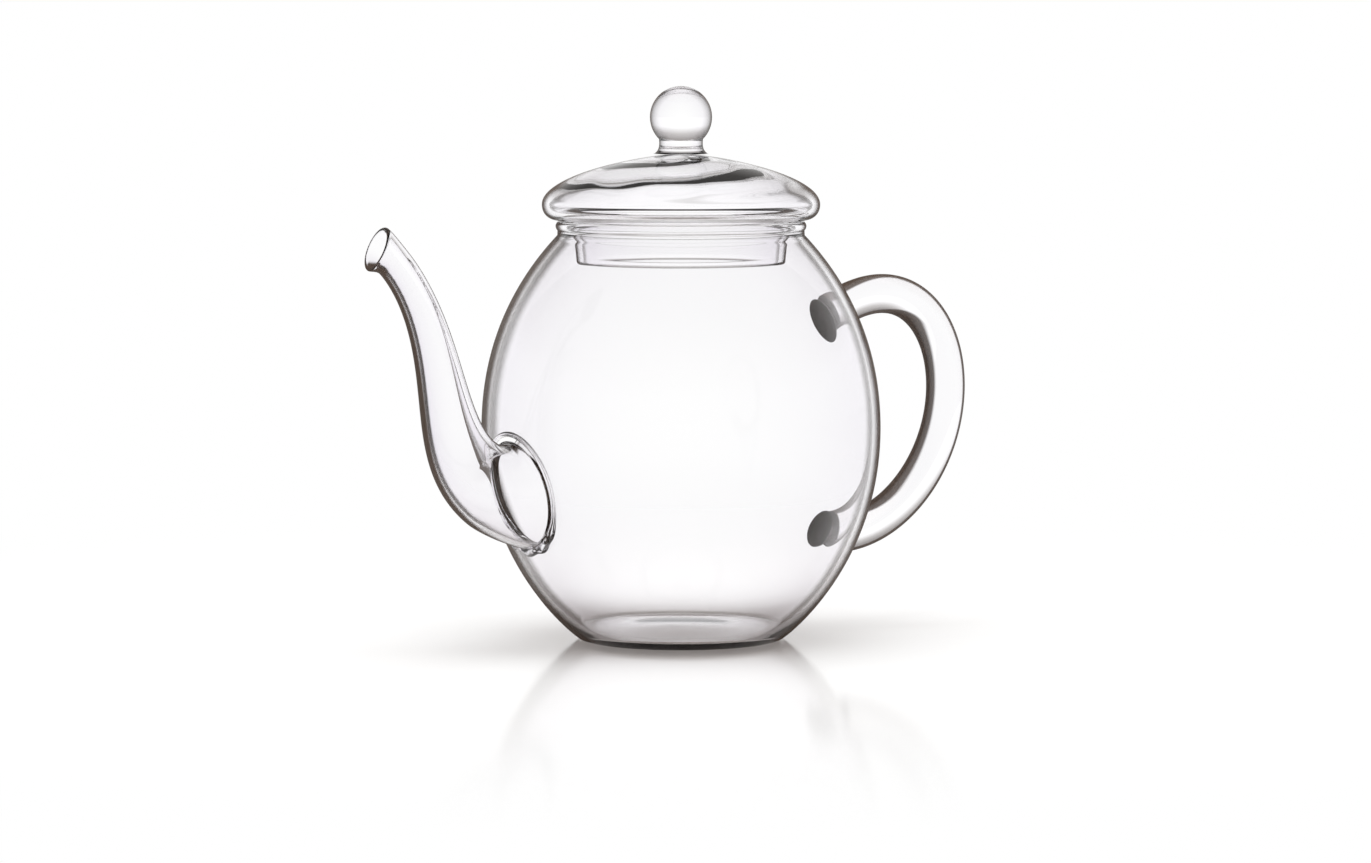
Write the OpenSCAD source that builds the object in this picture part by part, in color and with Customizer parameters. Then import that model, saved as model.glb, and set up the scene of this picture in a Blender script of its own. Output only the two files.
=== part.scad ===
// Blown glass teapot with a hollow curved spout, a solid rod handle and a drop-in lid.
// Millimetres, +Z up. The origin is the centre of the resting face, on the axis of the pot.
// The spout points along +X and the handle along -X, both in the plane y = 0.

/* [Pot] */
// Largest outside diameter of the pot
pot_d = 120; // [100:1:140]
// Height of the widest part above the table
belly_z = 63.5; // [55:0.5:70]
// Radius of the flat resting ring, at its outer edge
foot_r = 30; // [26:0.5:34]
// How far the middle of the bottom is pushed up
kick_up = 1.2; // [0.8:0.1:2.5]
// Height of the centre of the rolled rim
rim_z = 124.4; // [118:0.2:130]
// Radius from the axis to the centre of the rolled rim
rim_r = 36; // [34.5:0.1:38]
// Thickness of the rolled rim
rim_t = 3.2; // [2.6:0.1:4]
// Wall of the pot
pot_wall = 2.4; // [1.8:0.1:3]

/* [Spout] */
// Radius of the hole that opens the pot into the spout
spout_hole_r = 15; // [12:0.5:15.5]
// Height of the spout's root above the table
spout_root_z = 47; // [44:0.5:50]
// Outside radius of the spout where it meets the pot
spout_root_r = 17.4; // [17:0.1:18]
// Wall of the spout at its root
spout_wall = 2.2; // [1.6:0.1:2.6]
// Wall of the spout at its tip
spout_tip_wall = 1.4; // [1:0.1:1.8]
// Thickness of the bead of glass round the spout's root
seam_t = 3.2; // [2:0.1:4]

/* [Handle] */
// Diameter of the handle rod
rod_d = 12; // [10:0.5:13]
// Diameter of the flared feet where they meet the pot
foot_d = 14; // [13.5:0.1:15]

/* [Lid] */
// Largest outside diameter of the lid
lid_d = 83.4; // [80:0.2:88]
// Height of the lid's underside above the table
lid_z = 126.3; // [126.3:0.1:127]
// Height of the top of the dome
dome_z = 146; // [142:0.5:150]
// Wall of the dome
lid_wall = 2.4; // [1.8:0.1:3]
// Depth of the skirt below the lid's underside
skirt_h = 13.5; // [10:0.5:16]
// Outside radius of the skirt at its top
skirt_top_r = 33.4; // [32:0.1:33.6]
// Outside radius of the skirt at its lower edge
skirt_low_r = 31.3; // [29:0.1:32]
// Wall of the skirt
skirt_wall = 2.2; // [1.6:0.1:2.6]
// Diameter of the knob's ball
knob_d = 18.6; // [15:0.2:22]
// Height of the ball's centre above the top of the dome
knob_rise = 11; // [10:0.5:12]

/* [Hidden] */
$fn = 96;
glass = [0.86, 0.87, 0.92, 0.45];
thick_glass = [0.62, 0.60, 0.60, 0.7];
pot_r = pot_d / 2;
lid_r = lid_d / 2;
curve_steps = 20;
round_steps = 14;
seal = 0.4;

// A point at t on the Bezier curve of any number of control points
function choose(n, k) = k == 0 ? 1 : choose(n, k - 1) * (n - k + 1) / k;
function weight(n, k, t) = choose(n, k) * pow(1 - t, n - k) * pow(t, k);
function bez(c, t, k = 0) =
    let (n = len(c) - 1, here = weight(n, k, t) * c[k])
    k == n ? here : here + bez(c, t, k + 1);
function bez_points(c, steps) = [for (i = [0:steps]) bez(c, i / steps)];
// The curve's direction at t, as an angle above the horizontal
function slope(c, t) =
    let (n = len(c) - 1, d = bez([for (i = [0:n - 1]) c[i + 1] - c[i]], t))
    atan2(d[1], d[0]);
// Points of a curve moved to its left by a distance
function beside(c, steps, gap) =
    [for (i = [0:steps]) let (a = slope(c, i / steps)) bez(c, i / steps) + gap * [-sin(a), cos(a)]];
function reversed(list) = [for (i = [len(list) - 1:-1:0]) list[i]];
function arc(centre, r, start, end, steps) =
    [for (i = [0:steps]) let (a = start + (end - start) * i / steps) centre + r * [cos(a), sin(a)]];
function joined(lists) = [for (list = lists) each list];

// Outline of the pot: up from the foot to the belly, then in over the shoulder to the rim
pot_low = [[foot_r, 0], [foot_r + 1.4, 0], [pot_r, belly_z - 41.4], [pot_r, belly_z]];
pot_high = [[pot_r, belly_z], [pot_r, belly_z + 24.7], [rim_r + 14.6, rim_z - 16.6], [rim_r, rim_z - 1.6]];
pot_outer = joined([bez_points(pot_low, curve_steps), bez_points(pot_high, curve_steps)]);
// Radius of the pot's outer face at a height
function pot_radius(z) = lookup(z, [for (p = pot_outer) [p[1], p[0]]]);
// A point moved along the x axis on to the pot's outer face, sunk in by the seal
function on_pot(p, side) = [side * (sqrt(pow(pot_radius(p[2]), 2) - p[1] * p[1]) - seal), p[1], p[2]];

// Centre line of the spout in the plane y = 0, as [x, z], and its outer radius along it
spout_line = [
    [54, spout_root_z], [68, spout_root_z - 2.2], [96, 60.4],
    [68.3, 83.6], [96, 117], [104, 120.4]
];
spout_radii = [spout_root_r, 9.6, 7.5, 3.8, 5.7];
// Centre line of the handle, from its upper foot to its lower one
handle_line = [[-50.5, 94.5], [-81, 113], [-101.8, 102.5], [-118, 58.5], [-80.5, 22.5], [-50.5, 29.5]];
handle_from = 0.045;
handle_to = 0.955;

// One ring of points round a centre line at t
function ring(line, t, r, sides) =
    let (c = bez(line, t), a = slope(line, t))
    [for (i = [0:sides - 1])
        let (b = 360 * i / sides, up = r * cos(b))
        [c[0] - up * sin(a), r * sin(b), c[1] + up * cos(a)]];
function mix(p, q, w) = [for (i = [0:len(p) - 1]) p[i] * (1 - w) + q[i] * w];
function ease(w) = w <= 0 ? 0 : w >= 1 ? 1 : w * w * (3 - 2 * w);

// A closed skin over rings of points, with a flat cap of triangles at each end
module skin(rings) {
    sides = len(rings[0]);
    last = len(rings) - 1;
    walls = [for (k = [0:last - 1], i = [0:sides - 1])
        let (j = (i + 1) % sides, a = k * sides, b = a + sides)
        each [[a + i, a + j, b + j], [a + i, b + j, b + i]]];
    start = [for (i = [1:sides - 2]) [0, i + 1, i]];
    top = last * sides;
    end = [for (i = [1:sides - 2]) [top, top + i, top + i + 1]];
    polyhedron(joined(rings), joined([walls, start, end]), convexity = 6);
}

// A skin that closes on itself, for tubes with a bore and for rings
module loop_skin(rings) {
    sides = len(rings[0]);
    count = len(rings);
    polyhedron(joined(rings), [for (k = [0:count - 1], i = [0:sides - 1])
        let (j = (i + 1) % sides, a = k * sides, b = ((k + 1) % count) * sides)
        each [[a + i, a + j, b + j], [a + i, b + j, b + i]]], convexity = 6);
}

// The pot: a blown shell with a rolled rim, open where the spout begins
module pot_body() {
    inner_low = beside(pot_low, curve_steps, pot_wall);
    inner_high = beside(pot_high, curve_steps, pot_wall);
    floor_in = [[0, kick_up + pot_wall], [foot_r - 4, pot_wall]];
    mouth = [[rim_r, rim_z], [rim_r - rim_t / 2, rim_z]];
    inner = joined([floor_in, [for (p = inner_low) if (p[1] > pot_wall + 0.5) p], inner_high]);
    outer = joined([[[0, kick_up], [foot_r - 4, 0]], pot_outer, mouth]);
    color(glass)
    difference() {
        rotate_extrude() {
            polygon(joined([outer, reversed(inner)]));
            translate([rim_r, rim_z]) circle(d = rim_t, $fn = 32);
        }
        translate([pot_r / 2, 0, spout_root_z]) rotate([0, 90, 0]) cylinder(r = spout_hole_r, h = pot_r);
    }
}

spout_sides = 28;
spout_steps = 34;
root_end = 0.16;
lip_from = 0.9;
// Near its end the spout flares into a lip that stands a little steeper than the tube is square
function spout_lip(t, b) =
    ease((t - lip_from) / (1 - lip_from)) * [1.15 + 0.15 * cos(b), 0, 0.3 + 1.6 * cos(b)];
function spout_skin(t, inset) =
    let (r = bez([for (q = spout_radii) [q]], t)[0] - inset,
        tube = ring(spout_line, t, r, spout_sides),
        swept = [for (i = [0:spout_sides - 1]) tube[i] + spout_lip(t, 360 * i / spout_sides)],
        root = [for (p = ring([[0, spout_root_z], [1, spout_root_z]], 0, spout_root_r - inset, spout_sides))
            on_pot(p, 1)])
    mix(root, swept, ease(t / root_end));
function spout_gap(t) = spout_wall + (spout_tip_wall - spout_wall) * t;

// The spout: a hollow tube, wide at the pot and narrow at the slanted pouring edge
module spout() {
    outside = [for (k = [0:spout_steps]) spout_skin(k / spout_steps, 0)];
    inside = [for (k = [spout_steps:-1:0]) let (t = k / spout_steps) spout_skin(t, spout_gap(t))];
    color(glass) loop_skin(joined([outside, inside]));
}

// The bead of glass that is melted round the spout's root to join it to the pot
module spout_seam() {
    around = 56;
    seam_sides = 10;
    bead = [for (k = [0:around - 1])
        let (b = 360 * k / around, r = spout_root_r,
            c = on_pot([0, r * sin(b), spout_root_z + r * cos(b)], 1) + [seal, 0, 0])
        [for (i = [0:seam_sides - 1])
            let (a = -360 * i / seam_sides, out = seam_t / 2 * cos(a))
            c + [seam_t / 2 * sin(a), out * sin(b), out * cos(b)]]];
    color(thick_glass) loop_skin(bead);
}

handle_sides = 24;

// The handle: a solid rod bent into a bow, full thickness from end to end
module handle() {
    steps = 40;
    color(glass) skin([for (k = [0:steps])
        ring(handle_line, handle_from + (handle_to - handle_from) * k / steps, rod_d / 2, handle_sides)]);
}

// Rings of a flared foot, from an oval on the pot's face to one end of the handle rod
function foot_rings(t, face_z, half_h) =
    let (steps = 6, rod_end = ring(handle_line, t, rod_d / 2, handle_sides),
        oval = [for (i = [0:handle_sides - 1]) let (b = 360 * i / handle_sides)
            on_pot([0, foot_d / 2 * sin(b), face_z + half_h * cos(b)], -1)])
    [for (k = [0:steps]) mix(oval, rod_end, k / steps)];

// Upper foot, where the handle leaves the shoulder
module handle_upper_foot() {
    color(thick_glass) skin(foot_rings(handle_from, 95, -foot_d / 2));
}

// Lower foot, where the handle comes back to the pot
module handle_lower_foot() {
    color(thick_glass) skin(reversed(foot_rings(handle_to, 29.5, 0.8 * foot_d / 2)));
}

// The lid's dome: a blown shell with a full rounded edge and a flat ring underneath
dome_top = [[0, dome_z], [10, dome_z], [lid_r, dome_z - 6], [lid_r, lid_z + 4.6]];
dome_edge = [[lid_r, lid_z + 4.6], [lid_r, lid_z + 1.6], [lid_r - 2.2, lid_z], [lid_r - 4.6, lid_z]];
module lid_dome() {
    bottom_r = skirt_top_r - skirt_wall;
    over = joined([bez_points(dome_top, curve_steps), bez_points(dome_edge, round_steps)]);
    under = joined([beside(dome_top, curve_steps, -lid_wall), beside(dome_edge, round_steps, -lid_wall)]);
    color(glass)
    rotate_extrude()
        polygon(joined([over, [[bottom_r, lid_z], [bottom_r, lid_z + lid_wall]], reversed(under)]));
}

// The lid's skirt: a short tapered tube that hangs inside the mouth
module lid_skirt() {
    outer = [[skirt_top_r, lid_z], [skirt_top_r - 0.7, lid_z - 3], [skirt_low_r, lid_z - skirt_h]];
    inner = [for (p = reversed(outer)) p - [skirt_wall, 0]];
    color(glass) rotate_extrude() polygon(joined([outer, inner]));
}

// The knob: a solid ball on a short waisted neck
module lid_knob() {
    ball_r = knob_d / 2;
    neck_r = 6.6;
    base_r = 7.8;
    ball_from = -acos(neck_r / ball_r);
    centre = [0, dome_z + knob_rise];
    neck = bez_points([[base_r, dome_z], [neck_r, dome_z + 1], [neck_r, dome_z + 2.5],
        centre + ball_r * [cos(ball_from), sin(ball_from)]], 6);
    color(glass)
    rotate_extrude()
        polygon(joined([[[0, dome_z]], neck, arc(centre, ball_r, ball_from, 90, 30)]));
}

pot_body();
spout();
spout_seam();
handle();
handle_upper_foot();
handle_lower_foot();
lid_dome();
lid_skirt();
lid_knob();
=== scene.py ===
# Blown glass teapot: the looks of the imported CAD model. Lengths are in metres.
import math
import bpy
import bmesh
from mathutils import Matrix, Vector, noise
from mathutils.kdtree import KDTree


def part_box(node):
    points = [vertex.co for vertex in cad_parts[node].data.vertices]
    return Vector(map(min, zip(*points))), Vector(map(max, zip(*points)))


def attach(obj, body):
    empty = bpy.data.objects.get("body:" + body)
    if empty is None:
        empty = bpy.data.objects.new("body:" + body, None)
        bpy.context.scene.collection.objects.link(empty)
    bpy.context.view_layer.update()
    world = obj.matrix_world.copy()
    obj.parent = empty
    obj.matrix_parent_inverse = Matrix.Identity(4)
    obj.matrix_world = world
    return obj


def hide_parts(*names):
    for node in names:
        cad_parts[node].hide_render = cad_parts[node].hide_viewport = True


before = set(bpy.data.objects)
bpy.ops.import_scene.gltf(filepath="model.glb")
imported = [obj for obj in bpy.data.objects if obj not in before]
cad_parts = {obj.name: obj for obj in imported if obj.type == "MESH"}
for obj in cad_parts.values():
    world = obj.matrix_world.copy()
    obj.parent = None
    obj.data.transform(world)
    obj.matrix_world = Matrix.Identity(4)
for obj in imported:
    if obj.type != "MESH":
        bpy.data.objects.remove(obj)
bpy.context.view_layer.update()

mm = 0.001
scene = bpy.context.scene
potLow, potTop = (Vector(corner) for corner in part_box("pot_body"))
domeLow, domeTop = (Vector(corner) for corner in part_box("lid_dome"))
skirtLow, skirtTop = (Vector(corner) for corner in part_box("lid_skirt"))
knobLow, knobTop = (Vector(corner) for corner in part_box("lid_knob"))
print("frame loaded:", ", ".join(sorted(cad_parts)))


def bezierPoint(controls, t):
    points = [Vector(c) for c in controls]
    while len(points) > 1:
        points = [a.lerp(b, t) for a, b in zip(points, points[1:])]
    return points[0]


def bezierSlope(controls, t):
    steps = [Vector(b) - Vector(a) for a, b in zip(controls, controls[1:])]
    return bezierPoint(steps, t).normalized()


def bezierRun(controls, count, first=0.0, last=1.0):
    return [bezierPoint(controls, first + (last - first) * i / count) for i in range(count + 1)]


def besideRun(controls, count, gap, first=0.0, last=1.0):
    # the same run moved to its left by gap, which may depend on t
    run = []
    for i in range(count + 1):
        t = first + (last - first) * i / count
        along = bezierSlope(controls, t)
        run.append(bezierPoint(controls, t) + gap(t) * Vector((-along.y, along.x)))
    return run


def arcRun(centre, radius, start, end, count):
    angles = [math.radians(start + (end - start) * i / count) for i in range(count + 1)]
    return [Vector(centre) + radius * Vector((math.cos(a), math.sin(a))) for a in angles]


def ease(w):
    w = min(max(w, 0.0), 1.0)
    return w * w * (3 - 2 * w)


def spunShell(outline, steps):
    # outline is a list of (radius, height), spun round the z axis into a closed shell
    bm = bmesh.new()
    verts = [bm.verts.new((p[0], 0, p[1])) for p in outline]
    edges = [bm.edges.new(pair) for pair in zip(verts, verts[1:])]
    if outline[0][0] > 1e-6:
        edges.append(bm.edges.new((verts[-1], verts[0])))
    bmesh.ops.spin(bm, geom=verts + edges, cent=(0, 0, 0), axis=(0, 0, 1), angle=math.tau,
                   steps=steps, use_merge=True, use_duplicate=False)
    bmesh.ops.remove_doubles(bm, verts=bm.verts[:], dist=1e-6)
    bmesh.ops.recalc_face_normals(bm, faces=bm.faces[:])
    return bm


def sweptSkin(rings, closed=False):
    # a loop of points is pulled from ring to ring; closed joins the last to the first
    bm = bmesh.new()
    sides = len(rings[0])
    start = bmesh.ops.create_circle(bm, cap_ends=False, radius=1, segments=sides)["verts"]
    for v, place in zip(start, rings[0]):
        v.co = place
    firstEdges = bm.edges[:]
    loopEdges = firstEdges
    loopVerts = start
    for ring in rings[1:]:
        made = bmesh.ops.extrude_edge_only(bm, edges=loopEdges)["geom"]
        fresh = [g for g in made if isinstance(g, bmesh.types.BMVert)]
        loopEdges = [g for g in made
                     if isinstance(g, bmesh.types.BMEdge) and all(v in fresh for v in g.verts)]
        follow = {}
        for v in loopVerts:
            other = next(e.other_vert(v) for e in v.link_edges if e.other_vert(v) in fresh)
            follow[v] = other
        loopVerts = [follow[v] for v in loopVerts]
        for v, place in zip(loopVerts, ring):
            v.co = place
    if closed:
        bmesh.ops.bridge_loops(bm, edges=firstEdges + loopEdges)
    else:
        bmesh.ops.contextual_create(bm, geom=firstEdges)
        bmesh.ops.contextual_create(bm, geom=loopEdges)
    bmesh.ops.recalc_face_normals(bm, faces=bm.faces[:])
    return bm


def markShadedSide(piece, sideAt):
    # how far each point lies to the spout's side of its wall or rod, from -1 to 1, for the glass to paint a
    # wider dark shade band on that side
    side = piece.data.attributes.new("shadedSide", "FLOAT", "POINT")
    for v, value in zip(piece.data.vertices, side.data):
        value.value = sideAt(v)


def newPiece(name, bm, body, material, nodes, sharp=None):
    mesh = bpy.data.meshes.new(name)
    bm.to_mesh(mesh)
    bm.free()
    for poly in mesh.polygons:
        poly.use_smooth = True
    if sharp:
        mesh.set_sharp_from_angle(angle=math.radians(sharp))
    mesh.materials.append(material)
    piece = bpy.data.objects.new(name, mesh)
    scene.collection.objects.link(piece)
    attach(piece, body)
    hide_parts(*nodes)
    print(f"{name}: {len(mesh.polygons)} faces")
    return piece


def linearColour(code):
    parts = [int(code[i:i + 2], 16) / 255 for i in (1, 3, 5)]
    return [p / 12.92 if p <= 0.04045 else ((p + 0.055) / 1.055) ** 2.4 for p in parts] + [1.0]


def addNode(tree, kind, settings=None, links=None):
    # settings are attributes or input values by name; links are (output, input name)
    node = tree.nodes.new(kind)
    for key, value in (settings or {}).items():
        if key in node.inputs:
            node.inputs[key].default_value = value
        else:
            setattr(node, key, value)
    for source, key in (links or []):
        tree.links.new(source, node.inputs[key])
    return node


borosilicate = {
    "ior": 1.473,            # borosilicate glass 3.3, the usual glass of heatproof pots
    "clear": "#ffffff",      # face on it is colourless
    "slant": "#f4f2f6",      # seen aslant it is drawn faintly lilac and a little darker, where the painted edge shade begins
    "edge": "#241d1a",       # and along an edge painted shade, dark brown grey
    "rim": "#53473f",        # painted shade on the outline itself, where no light comes along the wall
    "melted": "#2f231c",     # painted shade on the face where a rod is melted on
    "mirror": "#9c9a98",     # how brightly a face met head on mirrors the room
    "castShade": "#cec7c3",  # what one surface keeps back from a lamp's light
}


usualGlass = {
    "edgeFrom": 0.7,           # where the painted edge shade starts, with face on as 0 and edge on as 1
    "edgeTo": 0.95,            # and where it is full
    "spoutBand": 0.0,          # how much sooner the painted edge shade and outline come on the side towards the spout, a painted shaded side
    "rimFrom": 0.7,            # where the painted dark outline starts
    "rimOver": 0.16,           # and how much further on it is full
    "rimFull": 0.9,            # it never hides the glass altogether
    "skyLit": 0.6,             # how much of the painted edge shade a level face loses, because light comes from above
    "rippleSize": 18 * mm,
    "rippleDepth": 0.04 * mm,
    "meltedEnd": False,        # whether one end, melted on to the pot, is drawn as a dark disc of painted shade
}


def glassMaterial(name, **changes):
    # clear borosilicate glass: no colour of its own, a smooth flame-polished skin with soft ripples; its
    # darker edges, dark outline and darker spout side are painted shade
    look = {**usualGlass, **changes}
    material = bpy.data.materials.new(name)
    material.use_nodes = True
    tree = material.node_tree
    tree.nodes.clear()
    place = addNode(tree, "ShaderNodeTexCoord")
    facing = addNode(tree, "ShaderNodeLayerWeight", {"Blend": 0.5})
    sides = addNode(tree, "ShaderNodeSeparateXYZ", links=[(place.outputs["Normal"], "Vector")])
    # painted shade: the glass's side towards the spout is drawn darker sooner
    side = addNode(tree, "ShaderNodeAttribute", {"attribute_name": "shadedSide"})
    shadedSide = addNode(tree, "ShaderNodeMapRange", {"interpolation_type": "SMOOTHSTEP", "From Min": -0.1,
                        "From Max": 0.5, "To Max": look["spoutBand"]}, [(side.outputs["Fac"], "Value")])
    tilt = addNode(tree, "ShaderNodeMath", {"operation": "ABSOLUTE"}, [(sides.outputs["Z"], 0)])
    level = addNode(tree, "ShaderNodeMapRange",
                    {"From Min": 0.8, "From Max": 0.97, "To Max": look["skyLit"]},
                    [(tilt.outputs["Value"], "Value")])
    seenAlong = addNode(tree, "ShaderNodeMath", {"operation": "SUBTRACT"},
                        [(facing.outputs["Facing"], 0), (level.outputs["Result"], 1)])
    amount = addNode(tree, "ShaderNodeMath", {"operation": "ADD"},
                     [(seenAlong.outputs["Value"], 0), (shadedSide.outputs["Result"], 1)])
    # painted shade: the glass is drawn darker the more edge-on it is seen
    ramp = addNode(tree, "ShaderNodeValToRGB", links=[(amount.outputs["Value"], "Fac")])
    stops = [(0.0, "clear"), (look["edgeFrom"], "slant"), (look["edgeTo"], "edge")]
    ramp.color_ramp.elements.new(look["edgeFrom"])
    for element, (at, tone) in zip(ramp.color_ramp.elements, stops):
        element.position = at
        element.color = linearColour(borosilicate[tone])
    stretch = addNode(tree, "ShaderNodeMapping", {"Scale": (1.0, 1.0, 0.6)},
                      [(place.outputs["Object"], "Vector")])
    ripple = addNode(tree, "ShaderNodeTexNoise",
                     {"Scale": 1 / look["rippleSize"], "Detail": 1.0, "Roughness": 0.4},
                     [(stretch.outputs["Vector"], "Vector")])
    bump = addNode(tree, "ShaderNodeBump", {"Strength": 1.0, "Distance": look["rippleDepth"]},
                   [(ripple.outputs["Fac"], "Height")])
    glass = addNode(tree, "ShaderNodeBsdfPrincipled",
                    {"Roughness": 0.0, "IOR": borosilicate["ior"], "Transmission Weight": 1.0,
                     "Specular Tint": linearColour(borosilicate["mirror"])},
                    [(ramp.outputs["Color"], "Base Color"), (bump.outputs["Normal"], "Normal")])
    # painted shade: a dark diffuse outline mixed over the glass along its edges
    outline = addNode(tree, "ShaderNodeBsdfDiffuse",
                      {"Color": linearColour(borosilicate["melted" if look["meltedEnd"] else "rim"])})
    rim = addNode(tree, "ShaderNodeMapRange",
                  {"interpolation_type": "SMOOTHSTEP", "From Min": look["rimFrom"],
                   "From Max": look["rimFrom"] + look["rimOver"], "To Max": look["rimFull"]},
                  [(amount.outputs["Value"], "Value")])
    share = rim
    if look["meltedEnd"]:  # painted shade: the face melted on to the pot gets no light down the rod, so it is drawn dark
        disc = addNode(tree, "ShaderNodeMapRange", {"From Min": 0.75, "From Max": 0.85},
                       [(sides.outputs["X"], "Value")])
        share = addNode(tree, "ShaderNodeMath", {"operation": "MAXIMUM"},
                        [(rim.outputs["Result"], 0), (disc.outputs["Result"], 1)])
    edged = addNode(tree, "ShaderNodeMixShader", links=[(share.outputs[0], 0), (glass.outputs["BSDF"], 1),
                    (outline.outputs["BSDF"], 2)])
    lampLight = addNode(tree, "ShaderNodeBsdfTransparent",
                        {"Color": linearColour(borosilicate["castShade"])})
    rays = addNode(tree, "ShaderNodeLightPath")
    mix = addNode(tree, "ShaderNodeMixShader", links=[(rays.outputs["Is Shadow Ray"], 0),
                  (edged.outputs["Shader"], 1), (lampLight.outputs["BSDF"], 2)])
    addNode(tree, "ShaderNodeOutputMaterial", links=[(mix.outputs["Shader"], "Surface")])
    return material


# all are the same clear glass; they differ in where the painted edge shade, outline and spout-side band
# come on
blownGlass = glassMaterial("blownBorosilicateGlass", edgeFrom=0.79, edgeTo=0.97, spoutBand=0.05,
                           rippleSize=22 * mm, rippleDepth=0.05 * mm)
tubeGlass = glassMaterial("drawnGlassTube", edgeFrom=0.64, edgeTo=0.88, spoutBand=0.42, skyLit=0.15,
                          rippleSize=14 * mm)
rodGlass = glassMaterial("solidGlassRod", edgeFrom=0.62, edgeTo=0.84, spoutBand=0.39, rimFrom=0.5,
                         rimOver=0.1, skyLit=0.0, rippleDepth=0.03 * mm)
knobGlass = glassMaterial("solidGlassBall", edgeFrom=0.3, edgeTo=0.68, rippleDepth=0.02 * mm)
footGlass = glassMaterial("meltedRodEnd", edgeFrom=0.2, edgeTo=0.62, spoutBand=0.3, rimFrom=0.56,
                          skyLit=0.2, rippleSize=8 * mm, meltedEnd=True)
lidGlass = glassMaterial("blownLidGlass", edgeTo=0.98, skyLit=0.17, rippleSize=16 * mm,
                         rippleDepth=0.06 * mm)
weldGlass = glassMaterial("handWeldedGlass", edgeFrom=0.55, edgeTo=1.0, rimFrom=0.8, rippleSize=3 * mm)
print("materials made")


# a long lens from the spout's side, a little above the rim
view = {
    "turn": 32.5,          # degrees the spout is turned towards the camera
    "distance": 1.624,
    "height": 0.1985,
    "aside": 0.00135,      # the pot stands a little left of the middle
    "pitch": 4.785,        # degrees below level
    "lens": 142.3,
}
turn = math.radians(view["turn"])
ahead = Vector((-math.sin(turn), -math.cos(turn), 0))
right = Vector((ahead.y, -ahead.x, 0))
cameraData = bpy.data.cameras.new("camera")
cameraData.lens = view["lens"]
cameraData.sensor_width = 36
cameraData.clip_end = 50
camera = bpy.data.objects.new("camera", cameraData)
camera.location = -ahead * view["distance"] + right * view["aside"] + Vector((0, 0, view["height"]))
look = ahead * math.cos(math.radians(view["pitch"])) - Vector((0, 0, math.sin(math.radians(view["pitch"]))))
camera.rotation_euler = look.to_track_quat("-Z", "Y").to_euler()
scene.collection.objects.link(camera)
scene.camera = camera

# a white studio that dims overhead, so the lid and knob have something dark to bend.
# Looked at directly it is plain white
world = bpy.data.worlds.new("studio")
scene.world = world
world.use_nodes = True
sky = world.node_tree
sky.nodes.clear()
direction = addNode(sky, "ShaderNodeTexCoord")
split = addNode(sky, "ShaderNodeSeparateXYZ", links=[(direction.outputs["Generated"], "Vector")])
heights = addNode(sky, "ShaderNodeMapRange", {"From Min": -1.0, "From Max": 1.0},
                  [(split.outputs["Z"], "Value")])
room = addNode(sky, "ShaderNodeValToRGB", links=[(heights.outputs["Result"], "Fac")])
stops = [(0.0, 1.0), (0.5, 1.06), (0.6, 1.06), (0.68, 0.62), (0.78, 0.35), (0.88, 0.5), (1.0, 0.9)]
warmth = {"green": 0.07, "blue": 0.12}  # how much less of these the dimmer parts send out
room.color_ramp.elements[0].position = stops[0][0]
room.color_ramp.elements[1].position = stops[-1][0]
for place, level in stops[1:-1]:
    room.color_ramp.elements.new(place)
for element, (place, level) in zip(room.color_ramp.elements, stops):
    element.position = place
    lack = 1 - min(level, 1)
    element.color = (level, level * (1 - warmth["green"] * lack), level * (1 - warmth["blue"] * lack), 1)
eye = addNode(sky, "ShaderNodeLightPath")
seen = addNode(sky, "ShaderNodeBackground", {"Color": (1, 1, 1, 1), "Strength": 1.0})
lit = addNode(sky, "ShaderNodeBackground", {"Strength": 1.0}, [(room.outputs["Color"], "Color")])
both = addNode(sky, "ShaderNodeMixShader", links=[(eye.outputs["Is Camera Ray"], 0),
               (lit.outputs["Background"], 1), (seen.outputs["Background"], 2)])
addNode(sky, "ShaderNodeOutputWorld", links=[(both.outputs["Shader"], "Surface")])

lamp = {"height": 0.9, "size": 0.8, "power": 5.6}
lampData = bpy.data.lights.new("softbox", "AREA")
lampData.size = lamp["size"]
lampData.energy = lamp["power"]
light = bpy.data.objects.new("softbox", lampData)
light.location = (0, 0, lamp["height"])  # an area lamp shines down unless it is turned
light.visible_glossy = False  # it lights the pot and floor, but its square doesn't show in the glass
light.visible_transmission = False
scene.collection.objects.link(light)

table = {
    "colour": "#f9f9f9",
    "ior": 1.2,             # lower than real acrylic, so the mirror image stays faint
    "gloss": (0.09, 0.13),
    "glow": (0.08, 0.38),   # from here to here it turns into an evenly lit sweep with no horizon
    "radius": 12,
}
floorMaterial = bpy.data.materials.new("whiteAcrylicTable")  # gloss white acrylic sheet
floorMaterial.use_nodes = True
tree = floorMaterial.node_tree
tree.nodes.clear()
grain = addNode(tree, "ShaderNodeTexNoise", {"Scale": 40.0, "Detail": 2.0})
tone = addNode(tree, "ShaderNodeMapRange", {"To Min": table["gloss"][0], "To Max": table["gloss"][1]},
               [(grain.outputs["Fac"], "Value")])
acrylic = addNode(tree, "ShaderNodeBsdfPrincipled",
                  {"Base Color": linearColour(table["colour"]), "IOR": table["ior"]},
                  [(tone.outputs["Result"], "Roughness")])
glow = addNode(tree, "ShaderNodeEmission", {"Color": linearColour("#ffffff"), "Strength": 1.0})
spot = addNode(tree, "ShaderNodeTexCoord")
far = addNode(tree, "ShaderNodeVectorMath", {"operation": "LENGTH"}, [(spot.outputs["Object"], 0)])
fade = addNode(tree, "ShaderNodeMapRange",
               {"interpolation_type": "SMOOTHSTEP", "From Min": table["glow"][0],
                "From Max": table["glow"][1]}, [(far.outputs["Value"], "Value")])
sheet = addNode(tree, "ShaderNodeMixShader", links=[(fade.outputs["Result"], 0),
                (acrylic.outputs["BSDF"], 1), (glow.outputs["Emission"], 2)])
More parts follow.
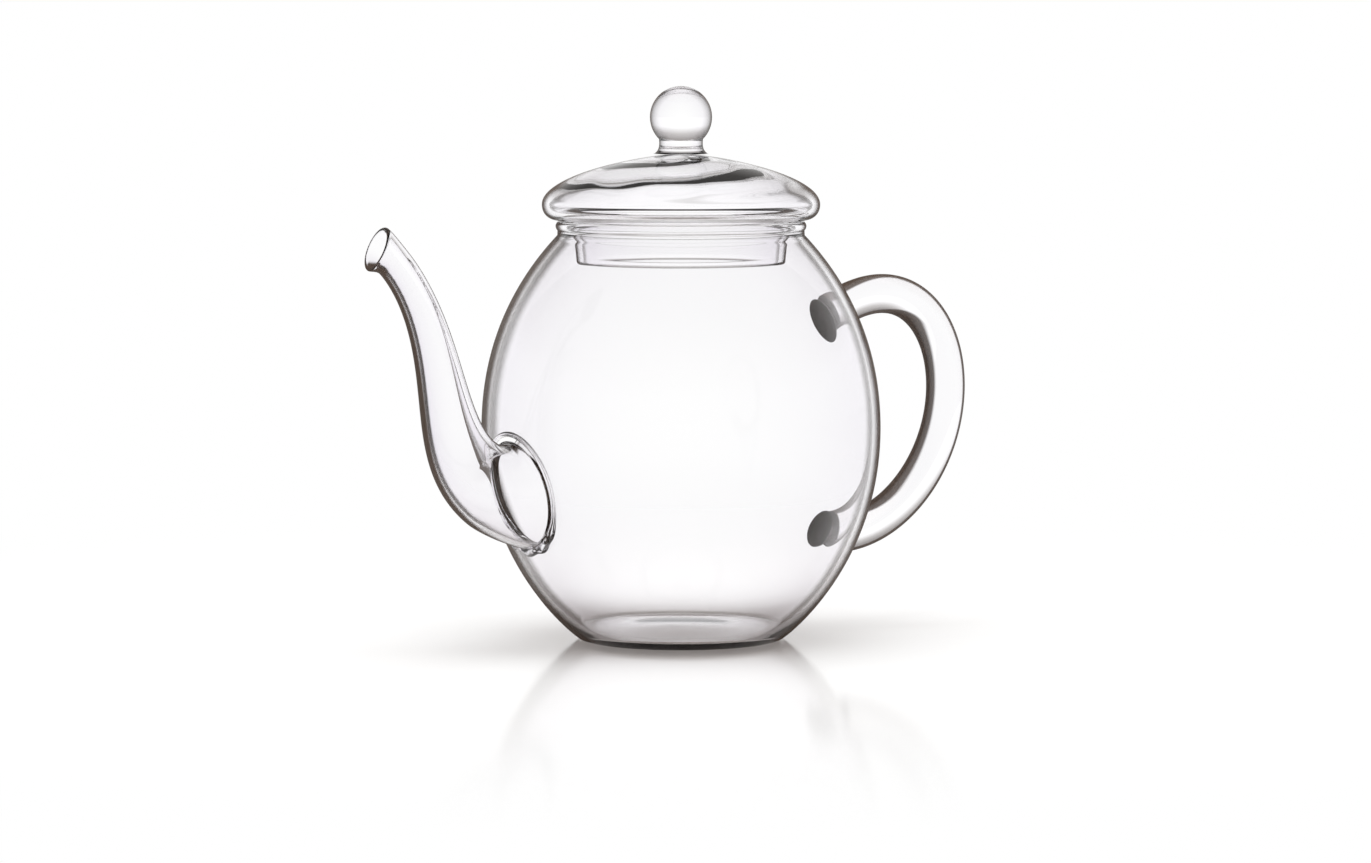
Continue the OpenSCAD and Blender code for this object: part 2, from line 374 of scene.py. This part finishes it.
addNode(tree, "ShaderNodeOutputMaterial", links=[(sheet.outputs["Shader"], "Surface")])
floorMesh = bmesh.new()
bmesh.ops.create_circle(floorMesh, cap_ends=True, radius=table["radius"], segments=64)
floorData = bpy.data.meshes.new("floor")
floorMesh.to_mesh(floorData)
floorMesh.free()
floorData.materials.append(floorMaterial)
floor = bpy.data.objects.new("floor", floorData)
floor.data.transform(Matrix.Translation((0, 0, potLow.z - 0.02 * mm)))
scene.collection.objects.link(floor)

scene.view_settings.view_transform = "Standard"
scene.cycles.max_bounces = 32
scene.cycles.transmission_bounces = 32
scene.cycles.transparent_max_bounces = 32
scene.cycles.caustics_refractive = True
print("camera, light and floor set")


pot = {
    "radius": potTop.y,
    "belly": 63.5 * mm,
    "foot": 30 * mm,
    "kick": 1.2 * mm,
    "rimRadius": 36 * mm,
    "bead": 1.6 * mm,
    "wall": 2.3 * mm,
    "baseWall": 3.0 * mm,
    "steps": 160,
}
rimZ = potTop.z - pot["bead"]
lowLine = [(pot["foot"], 0), (pot["foot"] + 1.4 * mm, 0), (pot["radius"], pot["belly"] - 41.4 * mm),
           (pot["radius"], pot["belly"])]
highLine = [(pot["radius"], pot["belly"]), (pot["radius"], pot["belly"] + 24.7 * mm),
            (pot["rimRadius"] + 14.6 * mm, rimZ - 16.6 * mm), (pot["rimRadius"], rimZ - pot["bead"])]
faceRun = bezierRun(lowLine, 60) + bezierRun(highLine, 60)[1:]


def potRadius(z):
    for a, b in zip(faceRun, faceRun[1:]):
        if a.y <= z <= b.y and b.y > a.y:
            return a.x + (b.x - a.x) * (z - a.y) / (b.y - a.y)
    return faceRun[-1].x


def potBody():
    kick = [(0, pot["kick"]), (10 * mm, pot["kick"]), (18 * mm, 0.1 * mm), (pot["foot"] - 4 * mm, 0)]
    under = bezierRun(kick, 10)
    outside = bezierRun(lowLine, 44) + bezierRun(highLine, 44, 0, 0.975)[1:]
    rim = arcRun((pot["rimRadius"], rimZ), pot["bead"], -50, 205, 20)

    def thick(t):  # the wall thickens towards the base
        return pot["wall"] + (pot["baseWall"] - pot["wall"]) * (1 - ease(t * 2))

    insideHigh = besideRun(highLine, 44, lambda t: pot["wall"], 0.0, 0.97)
    insideLow = [p for p in besideRun(lowLine, 44, thick) if p.y > pot["baseWall"] + 0.4 * mm]
    inner = insideLow + insideHigh[1:]
    inFloor = pot["kick"] + pot["baseWall"]
    floorRun = bezierRun([(0, inFloor), (12 * mm, inFloor), (22 * mm, pot["baseWall"] + 0.1 * mm),
                          (insideLow[0].x - 3 * mm, pot["baseWall"])], 10)
    outline = under + outside + rim + inner[::-1] + floorRun[::-1]
    return spunShell(outline, pot["steps"])


body = newPiece("potBody", potBody(), "pot", blownGlass, ["pot_body"])
cutter = bmesh.new()
hole = {"radius": 15.1 * mm, "height": 47 * mm, "from": 35 * mm, "to": 85 * mm}
holeMiddle = (hole["from"] + hole["to"]) / 2
bmesh.ops.create_cone(cutter, cap_ends=True, segments=72, radius1=hole["radius"], radius2=hole["radius"],
                      depth=hole["to"] - hole["from"],
                      matrix=Matrix.Translation((holeMiddle, 0, hole["height"]))
                      @ Matrix.Rotation(math.pi / 2, 4, "Y"))
cutMesh = bpy.data.meshes.new("cut")
cutter.to_mesh(cutMesh)
cutter.free()
cut = bpy.data.objects.new("cut", cutMesh)
scene.collection.objects.link(cut)
holed = body.modifiers.new("hole", "BOOLEAN")
holed.object = cut
holed.operation = "DIFFERENCE"
holed.solver = "EXACT"
bpy.context.view_layer.update()
whole = bpy.data.meshes.new_from_object(body.evaluated_get(bpy.context.evaluated_depsgraph_get()))
body.modifiers.clear()
body.data = whole
body.data.name = "potBody"
bpy.data.objects.remove(cut)
body.data.set_sharp_from_angle(angle=math.radians(50))
# painted shade: the pot's spout side gets a wider dark band
markShadedSide(body, lambda v: v.co.x / pot["radius"])
print("pot opened into the spout")


spout = {
    "line": [(54, 47), (68, 44.8), (96, 60.4), (68.3, 83.6), (96, 117), (104, 120.4)],
    "radii": [(17.4, 0), (9.6, 0), (7.5, 0), (3.8, 0), (5.7, 0)],
    "rootRadius": 17.4,
    "wall": 2.0,
    "tipWall": 1.3,
    "blend": 0.16,
    "sides": 96,
    "steps": 160,
    "gap": 0.03,
    "lipFrom": 0.9,        # from here the tube flares into the pouring lip
    "lipOut": (1.15, 0.15),  # how far that moves it outwards, and how much more at the top
    "lipUp": (0.3, 1.6),     # and upwards
    "last": 0.975,         # the rounded lip fills the rest of the way to the tip
    "rootShadeBand": 0.34,      # the painted shade band at the root, as a share of what it is at the lip
}


def onPot(point, gap=0.0):
    reach = potRadius(point.z)
    return Vector((math.sqrt(reach * reach - point.y * point.y) + gap, point.y, point.z))


def tubeRing(line, t, radius, sides):
    centre = bezierPoint(line, t) * mm
    along = bezierSlope(line, t)
    up = Vector((-along.y, 0, along.x))
    middle = Vector((centre.x, 0, centre.y))
    turns = [math.tau * i / sides for i in range(sides)]
    return [middle + radius * (math.cos(a) * up + math.sin(a) * Vector((0, 1, 0))) for a in turns]


def flared(ring, t):
    share = ease((t - spout["lipFrom"]) / (spout["last"] - spout["lipFrom"])) * mm
    ups = [math.cos(math.tau * i / spout["sides"]) for i in range(spout["sides"])]
    (out, outMore), (rise, riseMore) = spout["lipOut"], spout["lipUp"]
    return [p + share * Vector((out + outMore * up, 0, rise + riseMore * up)) for p, up in zip(ring, ups)]


def spoutRing(t, inset):
    radius = (bezierPoint(spout["radii"], t).x - inset) * mm
    ring = flared(tubeRing(spout["line"], t, radius, spout["sides"]), t)
    share = ease(t / spout["blend"])
    if share >= 1:
        return ring
    turns = [math.tau * i / spout["sides"] for i in range(spout["sides"])]
    flat = (spout["rootRadius"] - inset) * mm
    root = [onPot(Vector((0, flat * math.sin(a), hole["height"] + flat * math.cos(a))), spout["gap"] * mm)
            for a in turns]
    return [a.lerp(b, share) for a, b in zip(root, ring)]


def spoutPiece():
    count = spout["steps"]

    def wallAt(t):
        return spout["wall"] + (spout["tipWall"] - spout["wall"]) * t

    last = spout["last"]
    rings = [spoutRing(last * i / count, 0) for i in range(count + 1)]
    half = wallAt(last) / 2
    for turnBack in (30, 60, 90, 120, 150):
        a = math.radians(turnBack)
        radius = (bezierPoint(spout["radii"], last).x - half + half * math.cos(a)) * mm
        ring = flared(tubeRing(spout["line"], last, radius, spout["sides"]), last)
        along = bezierSlope(spout["line"], last)
        rings.append([p + Vector((along.x, 0, along.y)) * half * math.sin(a) * mm for p in ring])
    rings += [spoutRing(last * i / count, wallAt(last * i / count)) for i in range(count, -1, -1)]
    return sweptSkin(rings, closed=True)


tube = newPiece("spoutTube", spoutPiece(), "pot", tubeGlass, ["spout"], sharp=60)
middles = [bezierPoint(spout["line"], i / 200) * mm for i in range(201)]
nearest = KDTree(len(middles))
for i, middle in enumerate(middles):
    nearest.insert((middle.x, 0, middle.y), i)
nearest.balance()


def tubeShadedSide(v):  # the painted shade band widens towards the lip
    centre = nearest.find((v.co.x, 0, v.co.z))[0]
    high = (v.co.z - hole["height"]) / (potTop.z - hole["height"])
    return (v.co - centre).normalized().x * (spout["rootShadeBand"] + (1 - spout["rootShadeBand"]) * ease(high))


markShadedSide(tube, tubeShadedSide)

seam = {
    "around": 180,
    "sides": 20,
    "thin": 0.8 * mm,
    "thick": 1.6 * mm,
    "twists": 12,
    "lobe": 0.22,          # how far its twisted lobes stand out, at the bottom where it is thick
}


def seamPiece():
    rings = []
    for k in range(seam["around"]):
        a = math.tau * k / seam["around"]
        out = Vector((0, math.sin(a), math.cos(a)))
        centre = onPot(Vector((0, 0, hole["height"])) + spout["rootRadius"] * mm * out)
        low = ease((-math.cos(a) - 0.2) / 0.8)
        size = seam["thin"] + (seam["thick"] - seam["thin"]) * low
        ring = []
        for i in range(seam["sides"]):
            b = -math.tau * i / seam["sides"]
            lobe = 1 + seam["lobe"] * low * math.cos(2 * b + seam["twists"] * a)
            ring.append(centre + size * lobe * (math.cos(b) * out + math.sin(b) * Vector((1, 0, 0))))
        rings.append(ring)
    return sweptSkin(rings, closed=True)


newPiece("spoutSeam", seamPiece(), "pot", weldGlass, ["spout_seam"])


handle = {
    "line": [(-50.5, 94.5), (-81, 113), (-101.8, 102.5), (-118, 58.5), (-80.5, 22.5), (-50.5, 29.5)],
    "radius": 6.0,
    "first": 0.045,
    "last": 0.955,
    "sides": 64,
    "steps": 200,
    "waist": 0.2,          # how far a foot narrows between the pot and the rod
}
feet = {
    "upper": {"t": handle["first"], "height": 95, "half": -6.9, "wide": 6.9},
    "lower": {"t": handle["last"], "height": 29.5, "half": 5.6, "wide": 6.6},
}


def handlePiece():
    span = handle["last"] - handle["first"]
    return sweptSkin([tubeRing(handle["line"], handle["first"] + span * k / handle["steps"],
                               handle["radius"] * mm, handle["sides"]) for k in range(handle["steps"] + 1)])


def footPiece(foot, steps=18):
    turns = [math.tau * i / handle["sides"] for i in range(handle["sides"])]
    flat = []
    for a in turns:
        up = foot["height"] + foot["half"] * math.cos(a)
        p = onPot(Vector((0, foot["wide"] * mm * math.sin(a), up * mm)))
        flat.append(Vector((-p.x - 0.03 * mm, p.y, p.z)))
    rodEnd = tubeRing(handle["line"], foot["t"], handle["radius"] * mm, handle["sides"])
    middleFlat = sum(flat, Vector()) / len(flat)
    middleRod = sum(rodEnd, Vector()) / len(rodEnd)
    rings = []
    for k in range(steps + 1):
        w = k / steps
        waist = 1 - handle["waist"] * math.sin(math.pi * ease(w))
        middle = middleFlat.lerp(middleRod, w)
        share = 1 - (1 - w) ** 2.2
        rings.append([(middle + (p - middleFlat) * (1 - share) * waist + (q - middleRod) * share * waist)
                      for p, q in zip(flat, rodEnd)])
    return sweptSkin(rings)


rod = newPiece("handleRod", handlePiece(), "pot", rodGlass, ["handle"], sharp=50)
# painted shade: the handle's side towards the spout gets the wide dark band
markShadedSide(rod, lambda v: v.normal.x)
newPiece("upperFoot", footPiece(feet["upper"]), "pot", footGlass,
         ["handle_upper_foot"], sharp=50)
newPiece("lowerFoot", footPiece(feet["lower"]), "pot", footGlass,
         ["handle_lower_foot"], sharp=50)


lid = {
    "radius": domeTop.y,
    "under": domeLow.z,
    "top": domeTop.z,
    "wall": 2.2 * mm,
    "skirtWall": 2.0 * mm,
    "arms": 2,              # the swirl inside the dome has two arms
    "pitch": 2.9 * mm,      # how far out they go in each radian of the wave
    "uneven": 0.8,          # how far patches of thick and thin upset it
    "patch": 11 * mm,
    "dig": 0.3 * mm,        # and how deep it is
    "steps": 160,
}


def lidDome():
    under, top, radius = lid["under"], lid["top"], lid["radius"]
    over = [(0, top), (10 * mm, top), (radius, top - 6 * mm), (radius, under + 4.6 * mm)]
    edge = [(radius, under + 4.6 * mm), (radius, under + 1.6 * mm), (radius - 2.2 * mm, under),
            (radius - 4.6 * mm, under)]
    inR = skirtTop.y - lid["skirtWall"]

    def wallRun(t):
        return -lid["wall"]

    outline = bezierRun(over, 50) + bezierRun(edge, 20)[1:]
    outline += [Vector((inR + 0.3 * mm, under)), Vector((inR, under + 0.3 * mm)),
                Vector((inR, under + 1.9 * mm))]
    outline += besideRun(edge, 20, wallRun)[::-1] + besideRun(over, 50, wallRun)[::-1][1:]
    bm = spunShell(outline, lid["steps"])
    for v in bm.verts:  # the blown wall is uneven: a slow spiral of thick and thin inside the dome
        flat = math.hypot(v.co.x, v.co.y)
        if v.co.z > under + 3 * mm and flat < radius - 2.3 * mm:
            turnHere = math.atan2(v.co.y, v.co.x)
            wave = math.sin(lid["arms"] * turnHere + flat / lid["pitch"])
            wave += lid["uneven"] * noise.noise(v.co / lid["patch"])
            dig = lid["dig"] * wave * ease((radius - 2.3 * mm - flat) / (8 * mm))
            if v.normal.z < 0:
                v.co.z += dig
    return bm


def lidSkirt():
    top = lid["under"] - 0.03 * mm
    high, low = skirtTop.y, 31.3 * mm
    wall = lid["skirtWall"]
    outer = bezierRun([(high, top), (high - 0.9 * mm, top - 2.5 * mm), (low + 0.5 * mm, top - 6 * mm),
                       (low, skirtLow.z + wall / 2)], 20)
    lip = arcRun((low - wall / 2, skirtLow.z + wall / 2), wall / 2, 0, -180, 10)
    inner = [p - Vector((wall, 0)) for p in outer[::-1]]
    return spunShell(outer + lip[1:] + inner[1:], lid["steps"])


def lidKnob():
    ball = (knobTop.y - knobLow.y) / 2
    centre = knobTop.z - ball
    base = knobLow.z + 0.03 * mm
    start = -math.degrees(math.acos(6.6 * mm / ball))
    join = arcRun((0, centre), ball, start, start, 1)[0]
    neck = bezierRun([(8.3 * mm, base), (6.7 * mm, base + 0.6 * mm), (6.3 * mm, base + 2.2 * mm), join], 12)
    outline = [Vector((0, base))] + neck + arcRun((0, centre), ball, start, 90, 44)[1:]
    return spunShell(outline, 96)


newPiece("lidDome", lidDome(), "lid", lidGlass, ["lid_dome"])
newPiece("lidSkirt", lidSkirt(), "lid", lidGlass, ["lid_skirt"], sharp=50)
newPiece("lidKnob", lidKnob(), "lid", knobGlass, ["lid_knob"], sharp=50)
